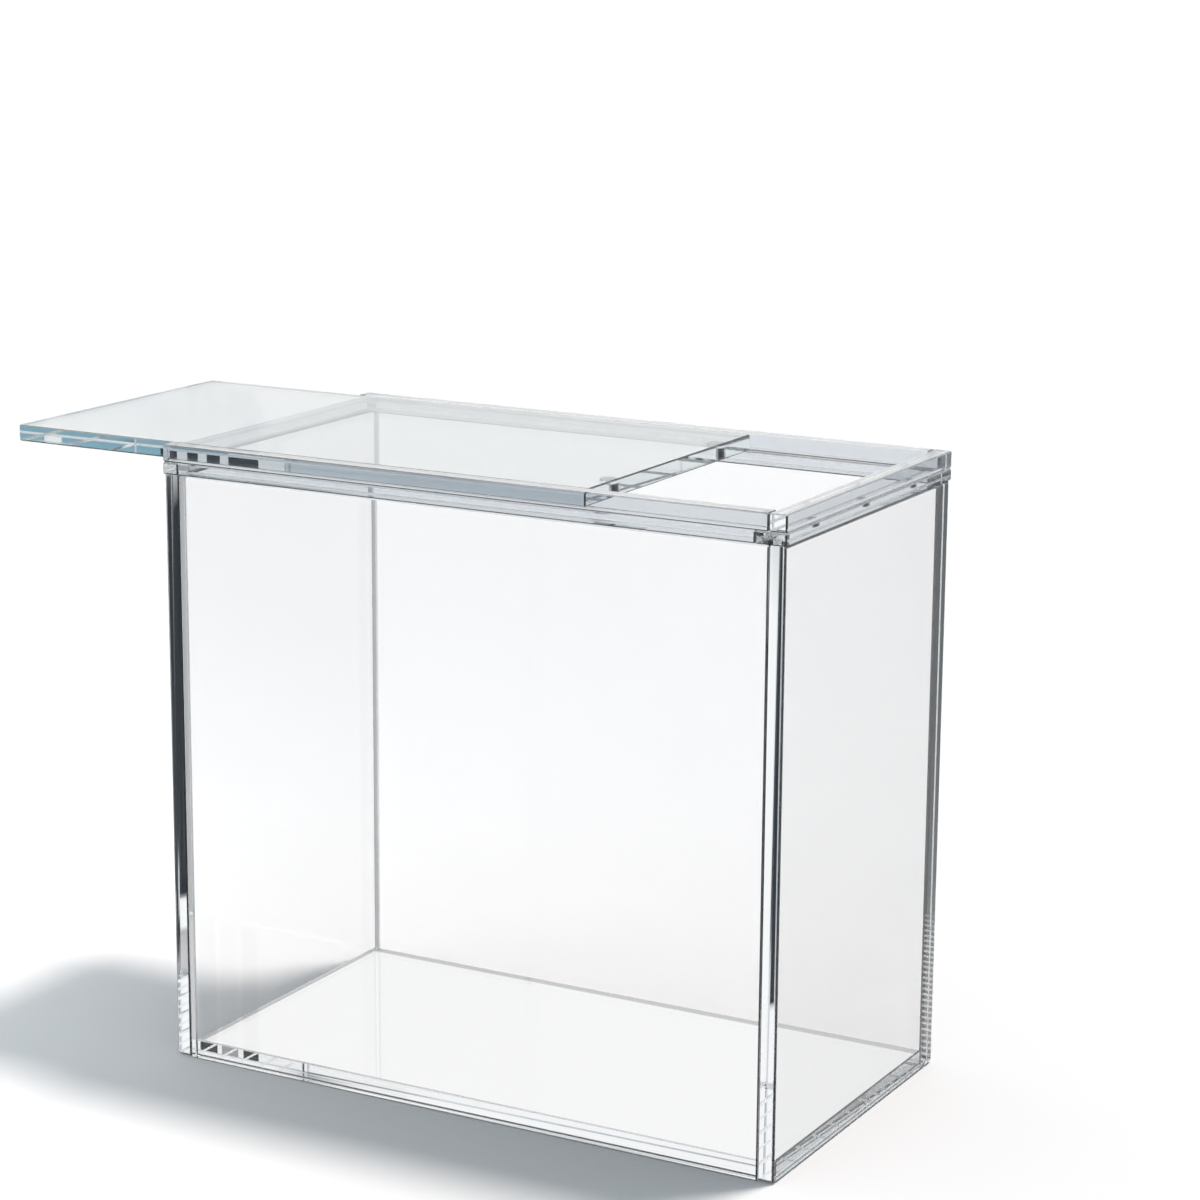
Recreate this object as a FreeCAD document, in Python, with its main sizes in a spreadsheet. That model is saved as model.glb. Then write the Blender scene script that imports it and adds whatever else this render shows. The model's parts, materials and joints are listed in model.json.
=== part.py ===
import FreeCAD, Part
import math
import os

import Sketcher

# Clear acrylic display case with a sliding lid.
# Origin at the middle of the underside: +X towards the lid's stop, +Y to the back, +Z up.
# Five panels are cemented into an open box. Two layers of rail run round its top: the lower
# layer is a ledge that the lid lies on, the upper layer guides the lid on three sides, and
# the fourth side is open so that the lid slides out over the sill there.

# Driving dimensions in millimetres
SIZES = {
    # Space inside the case
    "inner_width": 194.0,
    "inner_depth": 101.0,
    "inner_height": 177.0,
    # Cast acrylic sheet and its cemented joints
    "panel_thickness": 5.0,
    "base_thickness": 5.0,
    "cement_gap": 0.1,
    "edge_break": 0.4,
    "corner_round": 0.8,
    "foot_round": 1.6,
    # Rim of two rail layers
    "rim_overhang": 0.4,
    "ledge_height": 3.6,
    "ledge_reach": 4.0,
    # Sliding lid, drawn part way out
    "lid_thickness": 5.0,
    "lid_side_clearance": 0.3,
    "lid_end_clearance": 0.2,
    "lid_under_clearance": 0.15,
    "lid_top_step": 0.1,
    "lid_open": 58.0,
    # Magnets that hold the lid shut
    "magnet_end_margin": 17.5,
    "magnet_inset": 3.2,
    "magnet_draw": 2.5,
    "magnet_bevel": 0.25,
    "pocket_clearance": 0.05,
    "lid_magnet_diameter": 5.0,
    "lid_magnet_height": 3.5,
    "keeper_diameter": 4.0,
    "keeper_height": 2.0,
}

# How near two places count as the same one, as a share of the edge break
MATCH_SHARE = 0.01
# How far a pocket's volume may stray from its circle times its depth
VOLUME_SHARE = 0.001

# Planes of the case as expressions of the sheet
INNER_X = "(sizes.inner_width / 2)"
INNER_Y = "(sizes.inner_depth / 2)"
WALL_X = f"({INNER_X} + sizes.panel_thickness)"
WALL_Y = f"({INNER_Y} + sizes.panel_thickness)"
RIM_X = f"({WALL_X} + sizes.rim_overhang)"
RIM_Y = f"({WALL_Y} + sizes.rim_overhang)"
BETWEEN_X = f"({INNER_X} - sizes.cement_gap)"
BETWEEN_Y = f"({INNER_Y} - sizes.cement_gap)"
LEDGE_X = f"({INNER_X} - sizes.ledge_reach)"
LEDGE_Y = f"({INNER_Y} - sizes.ledge_reach)"

# Levels from the floor up
WALL_TOP = "(sizes.base_thickness + sizes.inner_height)"
LEDGE_LOW = f"({WALL_TOP} + sizes.cement_gap)"
LEDGE_TOP = f"({LEDGE_LOW} + sizes.ledge_height)"
GUIDE_LOW = f"({LEDGE_TOP} + sizes.cement_gap)"
LID_LOW = f"({LEDGE_TOP} + sizes.lid_under_clearance)"
LID_TOP = f"({LID_LOW} + sizes.lid_thickness)"
RIM_TOP = f"({LID_TOP} + sizes.lid_top_step)"

# Ends and edges of the lid where it rests, and the places of the magnets
LID_SHUT_X = f"({INNER_X} - sizes.lid_end_clearance)"
LID_RIGHT = f"({LID_SHUT_X} - sizes.lid_open)"
LID_LEFT = f"(-{RIM_X} - sizes.lid_open)"
LID_Y = f"({INNER_Y} - sizes.lid_side_clearance)"
LID_MAGNET_X = f"({LID_RIGHT} - sizes.magnet_inset)"
KEEPER_X = f"({LID_SHUT_X} - sizes.magnet_inset + sizes.magnet_draw)"
KEEPER_LOW = f"({LEDGE_TOP} - sizes.pocket_clearance - sizes.keeper_height)"
LID_MAGNET_LOW = f"({LID_LOW} + sizes.pocket_clearance)"
MAGNET_Y = f"({INNER_Y} - sizes.magnet_end_margin)"
MAGNET_ROW = {"front": f"-{MAGNET_Y}", "middle": "0", "back": MAGNET_Y}


def make_sheet(doc):
    """Spreadsheet with one named cell for each driving dimension."""
    sheet = doc.addObject("Spreadsheet::Sheet", "sizes")
    for row, (alias, value) in enumerate(SIZES.items(), start=1):
        sheet.set(f"A{row}", alias)
        sheet.set(f"B{row}", str(value))
        sheet.setAlias(f"B{row}", alias)
    doc.recompute()
    return sheet


def new_body(doc, label, low):
    """Body whose own origin stands at the place given by three expressions."""
    body = doc.addObject("PartDesign::Body", label)
    for axis, place in zip("xyz", low):
        body.setExpression(f"Placement.Base.{axis}", place)
    return body


def new_sketch(body, name, role):
    """Empty sketch on one of the body's own origin planes."""
    sketch = body.newObject("Sketcher::SketchObject", f"{body.Label}_{name}")
    planes = {feature.Role: feature for feature in body.Origin.OriginFeatures}
    sketch.AttachmentSupport = [(planes[role], "")]
    sketch.MapMode = "FlatFace"
    return sketch


def closed_outline(sketch, corners):
    """Straight-sided closed outline with its corners joined, and its sides level or upright."""
    count = len(corners)
    for index in range(count):
        line = Part.LineSegment(corners[index], corners[(index + 1) % count])
        sketch.addGeometry(line, False)
    for index in range(count):
        sketch.addConstraint(Sketcher.Constraint("Coincident", index, 2, (index + 1) % count, 1))
    for index in range(count):
        kind = "Horizontal" if index % 2 == 0 else "Vertical"
        sketch.addConstraint(Sketcher.Constraint(kind, index))


def drive(sketch, name, expression, *constraint):
    """Named dimension of a sketch, bound to an expression."""
    number = sketch.addConstraint(Sketcher.Constraint(*constraint))
    sketch.renameConstraint(number, name)
    sketch.setExpression(f"Constraints.{name}", expression)


def rectangle(sketch, width, height):
    """Rectangle from the sketch's origin, its two sides given by expressions."""
    wide = SIZES["inner_width"]
    high = SIZES["inner_height"]
    corners = [(0, 0), (wide, 0), (wide, high), (0, high)]
    closed_outline(sketch, [FreeCAD.Vector(across, up, 0) for across, up in corners])
    sketch.addConstraint(Sketcher.Constraint("Coincident", 0, 1, -1, 1))
    drive(sketch, "width", width, "DistanceX", 0, 1, 0, 2, wide)
    drive(sketch, "height", height, "DistanceY", 1, 1, 1, 2, high)


def pad(body, sketch, length):
    """Solid made by raising a sketch by a length given as an expression."""
    feature = body.newObject("PartDesign::Pad", f"{body.Label}_pad")
    feature.Profile = sketch
    feature.setExpression("Length", length)
    body.Document.recompute()
    sketch.Visibility = False
    return feature


def sides_of(edge, box):
    """Names of the sides of a box that an edge lies in."""
    near = SIZES["edge_break"] * MATCH_SHARE
    points = [vertex.Point for vertex in edge.Vertexes]
    places = {
        "left": [point.x - box.XMin for point in points],
        "right": [point.x - box.XMax for point in points],
        "front": [point.y - box.YMin for point in points],
        "back": [point.y - box.YMax for point in points],
        "bottom": [point.z - box.ZMin for point in points],
        "top": [point.z - box.ZMax for point in points],
    }
    return {side for side, offsets in places.items() if all(abs(step) < near for step in offsets)}


def dress(body, kind, base, size, wanted):
    """Fillet or chamfer on the edges whose sides pass the test wanted."""
    box = base.Shape.BoundBox
    names = []
    for number, edge in enumerate(base.Shape.Edges, start=1):
        if wanted(sides_of(edge, box)):
            names.append(f"Edge{number}")
    feature = body.newObject(f"PartDesign::{kind}", f"{body.Label}_{kind.lower()}")
    feature.Base = (base, names)
    feature.setExpression("Radius" if kind == "Fillet" else "Size", size)
    body.Document.recompute()
    return feature


def is_corner(sides):
    """True for an edge where two sides of a plate meet."""
    return len(sides) == 2


def plate(doc, label, x_span, y_span, z_span):
    """Plate between three pairs of planes, with its edges broken."""
    spans = (x_span, y_span, z_span)
    width, depth, height = (f"({high}) - ({low})" for low, high in spans)
    body = new_body(doc, label, [low for low, high in spans])
    sketch = new_sketch(body, "outline", "XY_Plane")
    rectangle(sketch, width, depth)
    solid = pad(body, sketch, height)
    dress(body, "Chamfer", solid, "sizes.edge_break", is_corner)
    return body


def side_panel(doc, label, low_x, outer_side):
    """Side panel over the whole depth, with its two lower corners rounded in outline."""
    body = new_body(doc, label, (low_x, f"-{WALL_Y}", "0"))
    sketch = new_sketch(body, "outline", "YZ_Plane")
    rectangle(sketch, f"2 * {WALL_Y}", WALL_TOP)
    solid = pad(body, sketch, "sizes.panel_thickness")
    lower_corners = [{"front", "bottom"}, {"back", "bottom"}]
    solid = dress(body, "Fillet", solid, "sizes.foot_round", lambda sides: sides in lower_corners)
    solid = dress(body, "Fillet", solid, "sizes.corner_round", lambda sides: outer_side in sides)
    inner_side = "left" if outer_side == "right" else "right"
    dress(body, "Chamfer", solid, "sizes.edge_break", lambda sides: inner_side in sides)
    return body


def circles(sketch, centres, radius):
    """Circles of one radius at places given as pairs of expressions."""
    for number, (across, up) in enumerate(centres):
        start = FreeCAD.Vector(SIZES["magnet_inset"], SIZES["magnet_end_margin"] * (number + 1), 0)
        circle = Part.Circle(start, FreeCAD.Vector(0, 0, 1), SIZES["keeper_diameter"])
        sketch.addGeometry(circle, False)
        drive(sketch, f"radius_{number}", radius, "Radius", number, SIZES["keeper_diameter"])
        drive(sketch, f"across_{number}", across, "DistanceX", -1, 1, number, 3, start.x)
        drive(sketch, f"up_{number}", up, "DistanceY", -1, 1, number, 3, start.y)


def drill(body, centres, diameter, height, face_level, upward):
    """Flat-bottomed round pockets for magnets, cut from one level into a plate."""
    doc = body.Document
    before = body.Shape.Volume
    radius = f"{diameter} / 2 + sizes.pocket_clearance"
    depth = f"{height} + 2 * sizes.pocket_clearance"
    sketch = new_sketch(body, "pockets_outline", "XY_Plane")
    sketch.setExpression("AttachmentOffset.Base.z", face_level)
    circles(sketch, centres, radius)
    feature = body.newObject("PartDesign::Pocket", f"{body.Label}_pockets")
    feature.Profile = sketch
    feature.setExpression("Length", depth)
    feature.Reversed = upward
    doc.recompute()
    sketch.Visibility = False
    bore = sketch.getDatum("radius_0").Value
    expected = len(centres) * math.pi * bore ** 2 * feature.Length.Value
    removed = before - body.Shape.Volume
    if abs(removed - expected) > VOLUME_SHARE * expected:
        raise RuntimeError(f"{body.Label}: pockets removed {removed}, not {expected}")


def disc(doc, label, centre, diameter, height):
    """Round magnet with bevelled rims, standing on the place given by three expressions."""
    body = new_body(doc, label, centre)
    sketch = new_sketch(body, "outline", "XY_Plane")
    start_radius = SIZES["keeper_diameter"]
    circle = Part.Circle(FreeCAD.Vector(0, 0, 0), FreeCAD.Vector(0, 0, 1), start_radius)
    sketch.addGeometry(circle, False)
    sketch.addConstraint(Sketcher.Constraint("Coincident", 0, 3, -1, 1))
    drive(sketch, "radius", f"{diameter} / 2", "Radius", 0, start_radius)
    solid = pad(body, sketch, height)
    dress(body, "Chamfer", solid, "sizes.magnet_bevel", lambda sides: bool(sides & {"bottom", "top"}))
    return body


def make_panels(doc):
    """Base, front and back between two side panels that run the whole depth."""
    across = (f"-{BETWEEN_X}", BETWEEN_X)
    upright = ("0", WALL_TOP)
    plate(doc, "base_panel", across, (f"-{BETWEEN_Y}", BETWEEN_Y), ("0", "sizes.base_thickness"))
    plate(doc, "front_panel", across, (f"-{WALL_Y}", f"-{INNER_Y}"), upright)
    plate(doc, "back_panel", across, (INNER_Y, WALL_Y), upright)
    side_panel(doc, "left_panel", f"-{WALL_X}", "left")
    side_panel(doc, "right_panel", INNER_X, "right")


def make_ledge_layer(doc):
    """Lower layer of the rim: three ledges under the lid, and the sill that it slides over."""
    across = (f"-{BETWEEN_X}", f"{LEDGE_X} - sizes.cement_gap")
    whole_depth = (f"-{RIM_Y}", RIM_Y)
    level = (LEDGE_LOW, LEDGE_TOP)
    plate(doc, "front_ledge_rail", across, (f"-{RIM_Y}", f"-{LEDGE_Y}"), level)
    plate(doc, "back_ledge_rail", across, (LEDGE_Y, RIM_Y), level)
    plate(doc, "left_sill_rail", (f"-{RIM_X}", f"-{INNER_X}"), whole_depth, level)
    right = plate(doc, "right_ledge_rail", (LEDGE_X, RIM_X), whole_depth, level)
    centres = [(f"{KEEPER_X} - {LEDGE_X}", f"{RIM_Y} + {place}") for place in MAGNET_ROW.values()]
    drill(right, centres, "sizes.keeper_diameter", "sizes.keeper_height", "sizes.ledge_height", False)


def make_guide_layer(doc):
    """Upper layer of the rim: two guides along the lid and the stop at its end."""
    across = (f"-{RIM_X}", f"{INNER_X} - sizes.cement_gap")
    level = (GUIDE_LOW, RIM_TOP)
    plate(doc, "front_guide_rail", across, (f"-{RIM_Y}", f"-{INNER_Y}"), level)
    plate(doc, "back_guide_rail", across, (INNER_Y, RIM_Y), level)
    plate(doc, "right_stop_rail", (INNER_X, RIM_X), (f"-{RIM_Y}", RIM_Y), level)


def make_lid(doc):
    """Lid plate, with pockets from below for the magnets at its leading end."""
    lid = plate(doc, "lid_panel", (LID_LEFT, LID_RIGHT), (f"-{LID_Y}", LID_Y), (LID_LOW, LID_TOP))
    across = f"{LID_MAGNET_X} - {LID_LEFT}"
    centres = [(across, f"{LID_Y} + {MAGNET_ROW[place]}") for place in ("front", "back")]
    drill(lid, centres, "sizes.lid_magnet_diameter", "sizes.lid_magnet_height", "0", True)


def make_magnets(doc):
    """Three keepers in the right ledge and two magnets in the lid."""
    for place, row in MAGNET_ROW.items():
        centre = (KEEPER_X, row, KEEPER_LOW)
        disc(doc, f"keeper_magnet_{place}", centre, "sizes.keeper_diameter", "sizes.keeper_height")
    for place in ("front", "back"):
        centre = (LID_MAGNET_X, MAGNET_ROW[place], LID_MAGNET_LOW)
        disc(doc, f"lid_magnet_{place}", centre, "sizes.lid_magnet_diameter", "sizes.lid_magnet_height")


def check(doc):
    """Stop on any object that failed, and on any piece that is not one valid solid."""
    for item in doc.Objects:
        if "Invalid" in item.State or "Error" in item.State:
            raise RuntimeError(f"{item.Label} failed: {item.State}")
    for body in doc.findObjects("PartDesign::Body"):
        shape = body.Shape
        if shape.isNull() or not shape.isValid() or len(shape.Solids) != 1:
            raise RuntimeError(f"{body.Label} is not one valid solid")


def write_parts(doc):
    """One STEP file for each piece, named after it."""
    os.makedirs("parts", exist_ok=True)
    for body in doc.findObjects("PartDesign::Body"):
        body.Shape.exportStep(os.path.join("parts", f"{body.Label}.step"))


def main():
    doc = FreeCAD.newDocument("display_case")
    make_sheet(doc)
    make_panels(doc)
    make_ledge_layer(doc)
    make_guide_layer(doc)
    make_lid(doc)
    make_magnets(doc)
    doc.recompute()
    check(doc)
    write_parts(doc)


main()
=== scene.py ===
import json
import math

import bpy
from mathutils import Matrix, Vector


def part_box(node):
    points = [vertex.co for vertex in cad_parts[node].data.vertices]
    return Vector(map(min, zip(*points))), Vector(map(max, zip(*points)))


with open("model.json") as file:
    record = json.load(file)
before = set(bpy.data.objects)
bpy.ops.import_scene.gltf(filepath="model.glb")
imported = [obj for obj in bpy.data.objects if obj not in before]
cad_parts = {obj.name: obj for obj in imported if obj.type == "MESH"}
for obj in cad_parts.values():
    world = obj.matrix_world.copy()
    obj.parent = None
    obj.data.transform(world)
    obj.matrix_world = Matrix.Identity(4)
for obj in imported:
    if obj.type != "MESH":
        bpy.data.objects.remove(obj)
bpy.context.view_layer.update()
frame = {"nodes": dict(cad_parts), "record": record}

# Camera, fitted to the corners of the case in the 1200 pixel square picture, with lengths in metres
PICTURE_PIXELS = 1200
FOCAL_PIXELS = 3292.0
SENSOR_MM = 36.0
CAMERA_AZIMUTH = math.radians(28.86)
CAMERA_ELEVATION = math.radians(12.89)
CAMERA_ROLL = math.radians(0.41)
CAMERA_DISTANCE = 0.975
CAMERA_TARGET = Vector((0.0149, 0.0, 0.1465))
CAMERA_REACH = 100.0

# Clear acrylic, and the faint grey of the lid's sheet
ACRYLIC_TINT = (0.995, 0.996, 0.997, 1)
LID_TINT = (0.82, 0.85, 0.855, 1)
ACRYLIC_IOR = 1.49
ABSORB_COLOUR = (0.8, 0.91, 0.97, 1)
ABSORB_DENSITY = 1.2

# Sawn and polished long sides of a rail, with a painted shade that makes them darker than the faces
# of the sheet
RAIL_SIDE_PAINTED_SHADE = (0.7, 0.735, 0.77, 1)
SIDE_LEAN = 0.5

# Broken edges, told from the flat faces by how far their normals lean from the axes, get a painted
# dark shade. Edges that face up are painted paler, as if lit from above, and so is every edge that
# is seen from within the sheet
EDGE_LEAN_FROM = 0.97
EDGE_LEAN_FULL = 0.9
PAINTED_EDGE_SHADE = (0.006, 0.007, 0.009, 1)
PAINTED_LIT_UPPER_EDGE = (0.7, 0.72, 0.74, 1)
LIT_EDGE_RISE = 0.3
PAINTED_INNER_EDGE_SHADE = (0.42, 0.44, 0.47, 1)
EDGE_ROUGHNESS = 0.22

# Long faint waves of a cast sheet
WAVE_SCALE = 24.0
WAVE_DETAIL = 1.0
WAVE_HEIGHT = 0.000002

# Faint unevenness that polishing leaves on a rail
POLISH_SCALE = 60.0
POLISH_DETAIL = 2.0
POLISH_HEIGHT = 0.000002

# Fine marks that sliding leaves along the lid
MARK_STRETCH = (3.0, 900.0, 900.0)
MARK_DETAIL = 3.0
MARK_FROM = 0.66
MARK_FULL = 0.74
MARK_ROUGHNESS = 0.07

# Nickel plating of the magnets, with fine scratches
NICKEL_DARK = (0.06, 0.06, 0.065, 1)
NICKEL_LIGHT = (0.3, 0.3, 0.3, 1)
NICKEL_ROUGHNESS = 0.12
NICKEL_SPREAD = 0.2
SCRATCH_STRETCH = (300.0, 2500.0, 900.0)
SCRATCH_DETAIL = 4.0


def new_material(name):
    """Material with an empty node tree, and its nodes and links."""
    material = bpy.data.materials.new(name)
    material.use_nodes = True
    tree = material.node_tree
    tree.nodes.clear()
    return material, tree.nodes, tree.links


def math_node(nodes, links, operation, *values):
    """Math node on sockets or plain numbers, and its result."""
    node = nodes.new("ShaderNodeMath")
    node.operation = operation
    for socket, value in zip(node.inputs, values):
        if isinstance(value, bpy.types.NodeSocket):
            links.new(value, socket)
        else:
            socket.default_value = value
    return node.outputs[0]


def between(nodes, links, value, low, high):
    """Share of the way that a value has gone from low to high."""
    node = nodes.new("ShaderNodeMapRange")
    node.inputs["From Min"].default_value = low
    node.inputs["From Max"].default_value = high
    links.new(value, node.inputs["Value"])
    return node.outputs["Result"]


def mix_colour(nodes, links, share, first, second):
    """Blend of two colours, each a socket, a colour or a plain grey level."""
    node = nodes.new("ShaderNodeMix")
    node.data_type = "RGBA"
    links.new(share, node.inputs["Factor"])
    for socket, value in ((node.inputs["A"], first), (node.inputs["B"], second)):
        if isinstance(value, bpy.types.NodeSocket):
            links.new(value, socket)
        elif isinstance(value, tuple):
            socket.default_value = value
        else:
            socket.default_value = (value, value, value, 1)
    return node.outputs["Result"]


def noise(nodes, links, detail, scale=1.0, stretch=(1.0, 1.0, 1.0)):
    """Noise in the object's own space, from 0 to 1."""
    coords = nodes.new("ShaderNodeTexCoord")
    mapping = nodes.new("ShaderNodeMapping")
    mapping.inputs["Scale"].default_value = stretch
    links.new(coords.outputs["Object"], mapping.inputs["Vector"])
    texture = nodes.new("ShaderNodeTexNoise")
    texture.inputs["Scale"].default_value = scale
    texture.inputs["Detail"].default_value = detail
    links.new(mapping.outputs["Vector"], texture.inputs["Vector"])
    return texture.outputs["Fac"]


def bump(nodes, links, height, distance):
    """Normal that follows a height."""
    node = nodes.new("ShaderNodeBump")
    node.inputs["Strength"].default_value = 1.0
    node.inputs["Distance"].default_value = distance
    links.new(height, node.inputs["Height"])
    return node.outputs["Normal"]


def facing(nodes, links):
    """How a surface faces: a mask of its broken edges, its lean along each axis, its rise,
    and whether it is seen from within."""
    geometry = nodes.new("ShaderNodeNewGeometry")
    within = geometry.outputs["Backfacing"]
    split = nodes.new("ShaderNodeSeparateXYZ")
    links.new(geometry.outputs["True Normal"], split.inputs[0])
    leans = {axis: math_node(nodes, links, "ABSOLUTE", split.outputs[axis]) for axis in "XYZ"}
    level = math_node(nodes, links, "MAXIMUM", leans["X"], leans["Y"])
    straight = math_node(nodes, links, "MAXIMUM", level, leans["Z"])
    edge = between(nodes, links, straight, EDGE_LEAN_FROM, EDGE_LEAN_FULL)
    # The normal points to the viewer, so its sign is turned where the surface is seen from within
    sign = math_node(nodes, links, "MULTIPLY_ADD", within, -2.0, 1.0)
    rise = math_node(nodes, links, "MULTIPLY", split.outputs["Z"], sign)
    return edge, leans, rise, within


def cast_sheet(nodes, links):
    """Finish of a panel: faint waves, no marks."""
    waves = noise(nodes, links, WAVE_DETAIL, scale=WAVE_SCALE)
    return bump(nodes, links, waves, WAVE_HEIGHT), None


def polished_strip(nodes, links):
    """Finish of a rail: faint unevenness, no marks."""
    unevenness = noise(nodes, links, POLISH_DETAIL, scale=POLISH_SCALE)
    return bump(nodes, links, unevenness, POLISH_HEIGHT), None


def sliding_sheet(nodes, links):
    """Finish of the lid: the waves of a panel, and the roughness of fine marks along the slide."""
    normal, _ = cast_sheet(nodes, links)
    streaks = noise(nodes, links, MARK_DETAIL, stretch=MARK_STRETCH)
    marks = between(nodes, links, streaks, MARK_FROM, MARK_FULL)
    return normal, math_node(nodes, links, "MULTIPLY", marks, MARK_ROUGHNESS)


def acrylic(name, finish, tint=ACRYLIC_TINT, side_axis=None):
    """Clear acrylic with its own finish, satin edges in painted shade, and sides across one axis in
    painted shade.
    """
    material, nodes, links = new_material(name)
    shader = nodes.new("ShaderNodeBsdfPrincipled")
    shader.inputs["IOR"].default_value = ACRYLIC_IOR
    shader.inputs["Transmission Weight"].default_value = 1.0
    edge, leans, rise, within = facing(nodes, links)
    face_tint_and_side_shade = tint
    # Painted shade: the long sides of a rail are tinted darker than the faces of the sheet
    if side_axis is not None:
        across = math_node(nodes, links, "GREATER_THAN", leans[side_axis], SIDE_LEAN)
        face_tint_and_side_shade = mix_colour(nodes, links, across, tint, RAIL_SIDE_PAINTED_SHADE)
    # Painted shade on the broken edges: dark, painted paler as if lit where they face up, and paler
    # seen from within
    lit_upper_edge = math_node(nodes, links, "GREATER_THAN", rise, LIT_EDGE_RISE)
    outer_painted_shade_and_light = mix_colour(nodes, links, lit_upper_edge, PAINTED_EDGE_SHADE, PAINTED_LIT_UPPER_EDGE)
    edge_painted_shade_and_light = mix_colour(nodes, links, within, outer_painted_shade_and_light, PAINTED_INNER_EDGE_SHADE)
    links.new(mix_colour(nodes, links, edge, face_tint_and_side_shade, edge_painted_shade_and_light), shader.inputs["Base Color"])
    normal, marks = finish(nodes, links)
    links.new(normal, shader.inputs["Normal"])
    roughness = math_node(nodes, links, "MULTIPLY", edge, EDGE_ROUGHNESS)
    if marks is not None:
        roughness = math_node(nodes, links, "MAXIMUM", roughness, marks)
    links.new(roughness, shader.inputs["Roughness"])
    absorb = nodes.new("ShaderNodeVolumeAbsorption")
    absorb.inputs["Color"].default_value = ABSORB_COLOUR
    absorb.inputs["Density"].default_value = ABSORB_DENSITY
    out = nodes.new("ShaderNodeOutputMaterial")
    links.new(shader.outputs[0], out.inputs["Surface"])
    links.new(absorb.outputs[0], out.inputs["Volume"])
    return material


def nickel(name):
    """Nickel plating with fine scratches."""
    material, nodes, links = new_material(name)
    shader = nodes.new("ShaderNodeBsdfPrincipled")
    shader.inputs["Metallic"].default_value = 1.0
    scratches = noise(nodes, links, SCRATCH_DETAIL, stretch=SCRATCH_STRETCH)
    plating = mix_colour(nodes, links, scratches, NICKEL_DARK, NICKEL_LIGHT)
    links.new(plating, shader.inputs["Base Color"])
    roughness = math_node(nodes, links, "MULTIPLY_ADD", scratches, NICKEL_SPREAD, NICKEL_ROUGHNESS)
    links.new(roughness, shader.inputs["Roughness"])
    out = nodes.new("ShaderNodeOutputMaterial")
    links.new(shader.outputs[0], out.inputs["Surface"])
    return material


finishes = {
    "clear_acrylic": acrylic("clear_acrylic", cast_sheet),
    "lid_acrylic": acrylic("lid_acrylic", sliding_sheet, LID_TINT),
    "nickel_plate": nickel("nickel_plate"),
}
# Rails by the axis that their long sides face
rail_finishes = {
    axis: acrylic(f"rail_acrylic_{axis}", polished_strip, side_axis=axis) for axis in "XY"
}


def finish_of(subpart):
    """Material of a node, by its slot and, for a rail, by the way it runs."""
    if subpart["material_slot"] != "rail_acrylic":
        return finishes[subpart["material_slot"]]
    low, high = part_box(subpart["node"])
    return rail_finishes["Y" if high[0] - low[0] > high[1] - low[1] else "X"]


for subpart in frame["record"]["subparts"]:
    mesh = frame["nodes"][subpart["node"]].data
    mesh.materials.clear()
    mesh.materials.append(finish_of(subpart))


# Studio as rays see it that were mirrored more than once: level by compass angle, in degrees
# from +X towards +Y, with the darker levels cooled by these powers of red, green and blue
COOLING = (1.35, 1.12, 1.0)
WALL_STOPS = [
    (-180, 0.02), (-150, 0.02), (-140, 1.0), (-100, 1.0), (-94, 0.12), (-40, 0.12),
    (-25, 0.5), (0, 1.0), (95, 1.0), (98, 0.02), (180, 0.02),
]
FLOOR_STOPS = [
    (-180, 0.02), (-150, 0.02), (-142, 0.9), (-110, 0.9), (-60, 0.35), (-10, 0.9), (5, 1.0),
    (60, 1.0), (61.5, 0.02), (112, 0.02), (114, 1.0), (127.2, 1.0), (128.6, 0.02), (180, 0.02),
]
# Bright lamps on the wall, by the angles where each begins and ends
WALL_LAMPS = [(51.4, 51.7), (94, 124.9), (125.42, 125.57), (125.8, 125.95), (126.14, 126.32)]
# Gaps in the bright part of the wall, each with its level
WALL_GAPS = [(53.87, 54.18, 0.005), (54.26, 54.56, 0.35), (54.65, 54.93, 0.005)]
# Blue screens on the wall and on the far floor
WALL_SCREENS = [(50.4, 53.4), (126.6, 129.6)]
FLOOR_SCREENS = [(57, 64), (129, 133)]
SCREEN_COLOUR = (0.26, 0.46, 0.56, 1)
# White ceiling, by the rise of a direction where it begins and where it is full
OVERHEAD_FROM = 0.5
OVERHEAD_FULL = 0.62
# White floor about the origin, and the far floor, each by a radius and the width of its soft edge
TABLE_RADIUS = 0.1
TABLE_EDGE = 0.03
FAR_RADIUS = 0.98
FAR_EDGE = 0.04
# Plain levels that rays see which were mirrored once, and the glow of the floor within the case, a
# painted light over its shadow
WALL_ONCE = 0.92
FLOOR_ONCE = 0.45
FLOOR_WITHIN_GLOW = 1.0
WHITE = 1.0

# Depths of a ray past which it has been mirrored or scattered once, and twice
FIRST_DEPTH = 0.5
SECOND_DEPTH = 1.5

# Colour ramp of a full turn in degrees, with angle 0 in its middle
FULL_TURN = 360
RAMP_MIDDLE = 0.5

# Floor and light, with lengths in metres and angles in degrees
FLOOR_HALF = 12.0
FLOOR_DROP = 0.0002
FLOOR_ALBEDO = 0.98
SKY_COLOUR = (0.286, 0.338, 0.373, 1)
KEY_AZIMUTH = 60.0
KEY_ELEVATION = 75.5
KEY_SPREAD = 9.5
KEY_LEVEL = 2.165
KEY_COLOUR = (1.0, 0.93, 0.893)
FILL_LEVEL = 0.215
FILL_ELEVATION = 90.0
SIDE_PLACE = (-0.42, -0.12, 0.35)
SIDE_SIZE = 0.2
SIDE_POWER = 0.75

# Bounces of a ray, enough for the many faces of the sheets
BOUNCES = 32


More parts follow.
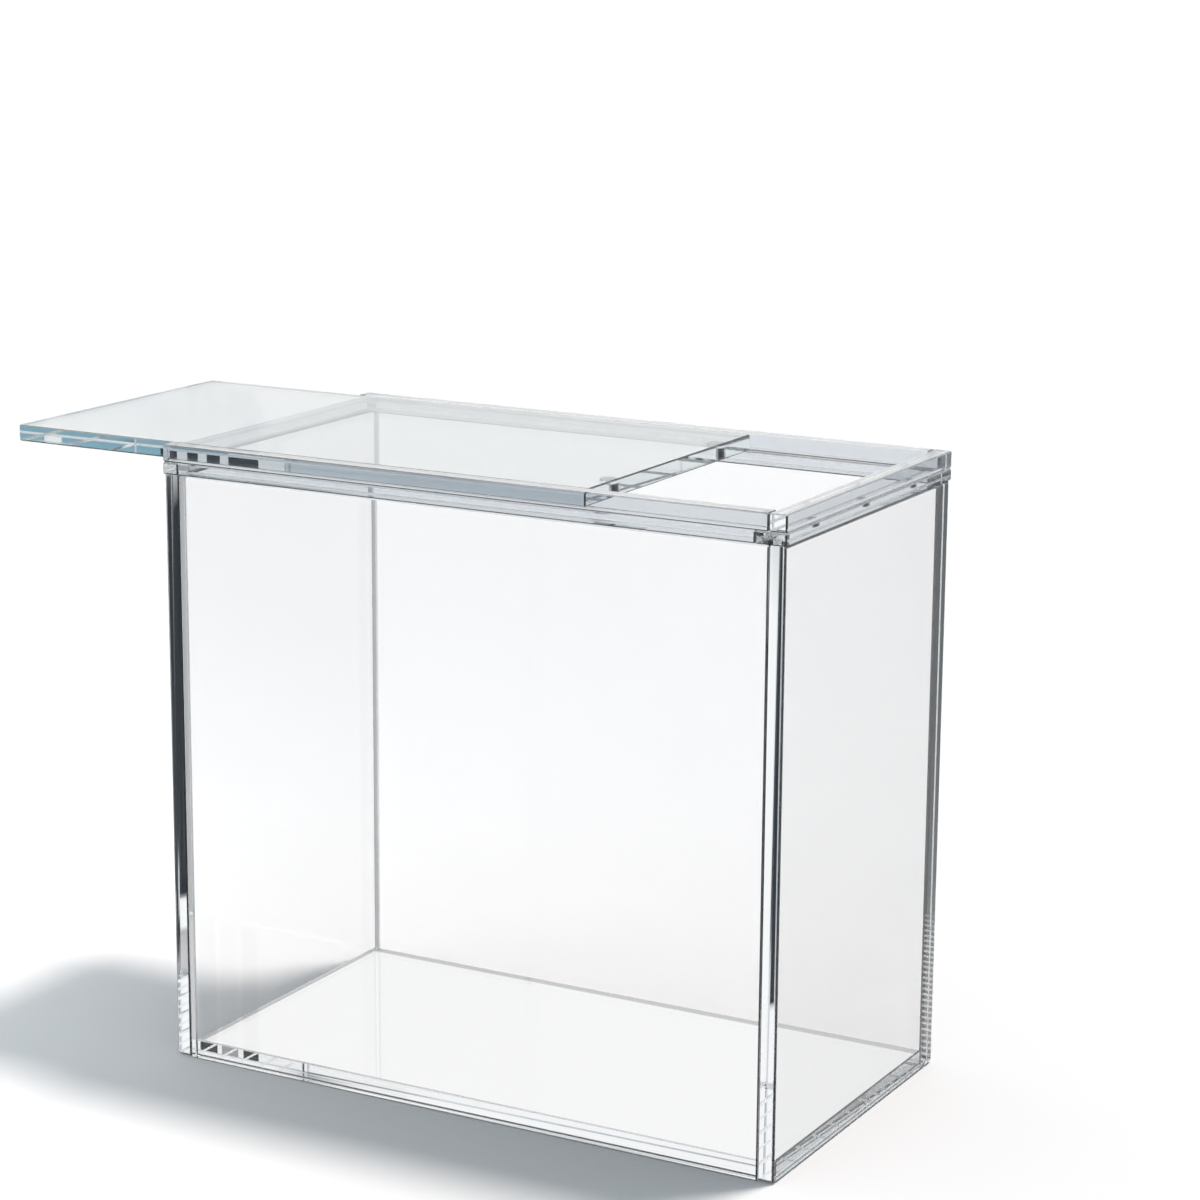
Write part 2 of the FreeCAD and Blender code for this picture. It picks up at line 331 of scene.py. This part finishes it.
def studio_level(nodes, links, x, y, stops):
    """Level of the studio in the compass direction of x and y, and that direction in degrees."""
    angle = math_node(nodes, links, "ARCTAN2", y, x)
    turn = between(nodes, links, angle, -math.pi, math.pi)
    ramp = nodes.new("ShaderNodeValToRGB")
    links.new(turn, ramp.inputs["Fac"])
    elements = ramp.color_ramp.elements
    while len(elements) < len(stops):
        elements.new(RAMP_MIDDLE)
    for element, (degrees, level) in zip(elements, stops):
        element.position = degrees / FULL_TURN + RAMP_MIDDLE
        element.color = [level ** power for power in COOLING] + [1]
    return ramp.outputs["Color"], math_node(nodes, links, "DEGREES", angle)


def inside(nodes, links, value, low, high):
    """1 where a value lies between low and high, 0 elsewhere."""
    above = math_node(nodes, links, "GREATER_THAN", value, low)
    below = math_node(nodes, links, "LESS_THAN", value, high)
    return math_node(nodes, links, "MULTIPLY", above, below)


def within_angles(nodes, links, degrees, spans):
    """1 in the directions of any of the spans of angles, 0 elsewhere."""
    result = None
    for low, high in spans:
        span = inside(nodes, links, degrees, low, high)
        result = span if result is None else math_node(nodes, links, "MAXIMUM", result, span)
    return result


def footprint(nodes, links, x, y):
    """1 on the floor within the case's walls, 0 elsewhere."""
    left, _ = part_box("left_panel")
    _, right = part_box("right_panel")
    along = inside(nodes, links, x, left[0], right[0])
    across = inside(nodes, links, y, left[1], right[1])
    return math_node(nodes, links, "MULTIPLY", along, across)


def mirrored_view(nodes, links, once_level, studio):
    """What mirrored rays see: a plain level after one mirroring, the studio after more."""
    path = nodes.new("ShaderNodeLightPath")
    often = math_node(nodes, links, "GREATER_THAN", path.outputs["Glossy Depth"], SECOND_DEPTH)
    return mix_colour(nodes, links, often, once_level, studio)


def mix_shader(nodes, links, share, first, second):
    """Blend of two shaders."""
    node = nodes.new("ShaderNodeMixShader")
    links.new(share, node.inputs["Fac"])
    links.new(first.outputs[0], node.inputs[1])
    links.new(second.outputs[0], node.inputs[2])
    return node


def floor_studio(nodes, links, place, x, y):
    """Studio's floor: white about the origin, then levels by angle, then the far floor."""
    reach = nodes.new("ShaderNodeVectorMath")
    reach.operation = "LENGTH"
    links.new(place, reach.inputs[0])
    radius = reach.outputs["Value"]
    beyond = between(nodes, links, radius, TABLE_RADIUS, TABLE_RADIUS + TABLE_EDGE)
    far = between(nodes, links, radius, FAR_RADIUS, FAR_RADIUS + FAR_EDGE)
    level, degrees = studio_level(nodes, links, x, y, FLOOR_STOPS)
    screens = within_angles(nodes, links, degrees, FLOOR_SCREENS)
    near_floor = mix_colour(nodes, links, beyond, WHITE, level)
    far_floor = mix_colour(nodes, links, screens, WHITE, SCREEN_COLOUR)
    return mix_colour(nodes, links, far, near_floor, far_floor)


def floor_paper():
    """Pale paper that takes the shadow. Mirrored rays see the studio in its place, and rays that
    pass through the case see a plain white glow within its walls, a painted light over the shadow
    there."""
    material, nodes, links = new_material("floor_paper")
    paper = nodes.new("ShaderNodeBsdfDiffuse")
    paper.inputs["Color"].default_value = (FLOOR_ALBEDO, FLOOR_ALBEDO, FLOOR_ALBEDO, 1)
    place = nodes.new("ShaderNodeTexCoord").outputs["Object"]
    split = nodes.new("ShaderNodeSeparateXYZ")
    links.new(place, split.inputs[0])
    x, y = split.outputs["X"], split.outputs["Y"]
    studio = floor_studio(nodes, links, place, x, y)
    table = nodes.new("ShaderNodeEmission")
    links.new(mirrored_view(nodes, links, FLOOR_ONCE, studio), table.inputs["Color"])
    # Painted light: within the case's walls the floor glows plain white for rays through the case,
    # over its shadow
    within = nodes.new("ShaderNodeEmission")
    within.inputs["Strength"].default_value = FLOOR_WITHIN_GLOW
    path = nodes.new("ShaderNodeLightPath")
    under_case = footprint(nodes, links, x, y)
    through = math_node(nodes, links, "MULTIPLY", path.outputs["Is Transmission Ray"], under_case)
    seen = mix_shader(nodes, links, through, paper, within)
    mirrored = math_node(nodes, links, "GREATER_THAN", path.outputs["Glossy Depth"], FIRST_DEPTH)
    mix = mix_shader(nodes, links, mirrored, seen, table)
    out = nodes.new("ShaderNodeOutputMaterial")
    links.new(mix.outputs[0], out.inputs["Surface"])
    return material


def make_floor():
    """Large pale floor, just below the case."""
    mesh = bpy.data.meshes.new("floor")
    half = FLOOR_HALF
    corners = [(-half, -half), (half, -half), (half, half), (-half, half)]
    mesh.from_pydata([(x, y, -FLOOR_DROP) for x, y in corners], [], [(0, 1, 2, 3)])
    mesh.materials.append(floor_paper())
    floor = bpy.data.objects.new("floor", mesh)
    bpy.context.scene.collection.objects.link(floor)


def wall_studio(nodes, links, x, y):
    """Studio's wall: levels by angle with gaps, then the screens, then the lamps before them."""
    wall, degrees = studio_level(nodes, links, x, y, WALL_STOPS)
    for low, high, level in WALL_GAPS:
        gap = inside(nodes, links, degrees, low, high)
        wall = mix_colour(nodes, links, gap, wall, level)
    screens = within_angles(nodes, links, degrees, WALL_SCREENS)
    lamps = within_angles(nodes, links, degrees, WALL_LAMPS)
    wall = mix_colour(nodes, links, screens, wall, SCREEN_COLOUR)
    return mix_colour(nodes, links, lamps, wall, WHITE)


def make_world():
    """White for straight views, the studio for mirrored ones, and a cool sky as light."""
    world = bpy.data.worlds.new("studio")
    bpy.context.scene.world = world
    world.use_nodes = True
    nodes, links = world.node_tree.nodes, world.node_tree.links
    nodes.clear()
    path = nodes.new("ShaderNodeLightPath")
    coords = nodes.new("ShaderNodeTexCoord")
    split = nodes.new("ShaderNodeSeparateXYZ")
    links.new(coords.outputs["Generated"], split.inputs[0])
    wall = wall_studio(nodes, links, split.outputs["X"], split.outputs["Y"])
    overhead = between(nodes, links, split.outputs["Z"], OVERHEAD_FROM, OVERHEAD_FULL)
    studio = mix_colour(nodes, links, overhead, mirrored_view(nodes, links, WALL_ONCE, wall), WHITE)
    mirrored = math_node(nodes, links, "GREATER_THAN", path.outputs["Glossy Depth"], FIRST_DEPTH)
    lighting = math_node(nodes, links, "GREATER_THAN", path.outputs["Diffuse Depth"], FIRST_DEPTH)
    seen = mix_colour(nodes, links, mirrored, WHITE, studio)
    shade = nodes.new("ShaderNodeBackground")
    links.new(mix_colour(nodes, links, lighting, seen, SKY_COLOUR), shade.inputs["Color"])
    out = nodes.new("ShaderNodeOutputWorld")
    links.new(shade.outputs[0], out.inputs["Surface"])


def make_sun(name, azimuth, elevation, spread, level):
    """Broad lamp far away in the compass direction azimuth, all angles in degrees."""
    data = bpy.data.lights.new(name, "SUN")
    data.angle = math.radians(spread)
    data.energy = level
    lamp = bpy.data.objects.new(name, data)
    flat = math.cos(math.radians(elevation))
    towards = Vector((
        flat * math.cos(math.radians(azimuth)),
        flat * math.sin(math.radians(azimuth)),
        math.sin(math.radians(elevation)),
    ))
    lamp.rotation_euler = towards.to_track_quat("Z", "Y").to_euler()
    bpy.context.scene.collection.objects.link(lamp)
    return data


def make_side_light():
    """Small soft light above the floor beside the case, which brightens the shadow there."""
    data = bpy.data.lights.new("side", "AREA")
    data.size = SIDE_SIZE
    data.energy = SIDE_POWER
    data.use_shadow = False
    lamp = bpy.data.objects.new("side", data)
    lamp.location = SIDE_PLACE
    lamp.visible_glossy = False
    lamp.visible_transmission = False
    bpy.context.scene.collection.objects.link(lamp)


def make_camera():
    """Camera at the picture's viewing angle."""
    azimuth, elevation = CAMERA_AZIMUTH, CAMERA_ELEVATION
    back = Vector((
        math.sin(azimuth) * math.cos(elevation),
        -math.cos(azimuth) * math.cos(elevation),
        math.sin(elevation),
    ))
    data = bpy.data.cameras.new("camera")
    data.sensor_width = SENSOR_MM
    data.lens = FOCAL_PIXELS / PICTURE_PIXELS * SENSOR_MM
    data.clip_end = CAMERA_REACH
    camera = bpy.data.objects.new("camera", data)
    turn = (-back).to_track_quat("-Z", "Y").to_matrix().to_4x4()
    roll = Matrix.Rotation(CAMERA_ROLL, 4, "Z")
    camera.matrix_world = Matrix.Translation(CAMERA_TARGET + back * CAMERA_DISTANCE) @ turn @ roll
    bpy.context.scene.collection.objects.link(camera)
    bpy.context.scene.camera = camera


make_floor()
make_world()
make_sun("key", KEY_AZIMUTH, KEY_ELEVATION, KEY_SPREAD, KEY_LEVEL).color = KEY_COLOUR
make_sun("fill", KEY_AZIMUTH, FILL_ELEVATION, KEY_SPREAD, FILL_LEVEL).use_shadow = False
make_side_light()
make_camera()

scene = bpy.context.scene
scene.view_settings.view_transform = "Standard"
scene.cycles.blur_glossy = 0.0
scene.cycles.caustics_refractive = False
scene.cycles.caustics_reflective = False
scene.cycles.max_bounces = BOUNCES
scene.cycles.transmission_bounces = BOUNCES
scene.cycles.glossy_bounces = BOUNCES
scene.cycles.transparent_max_bounces = BOUNCES
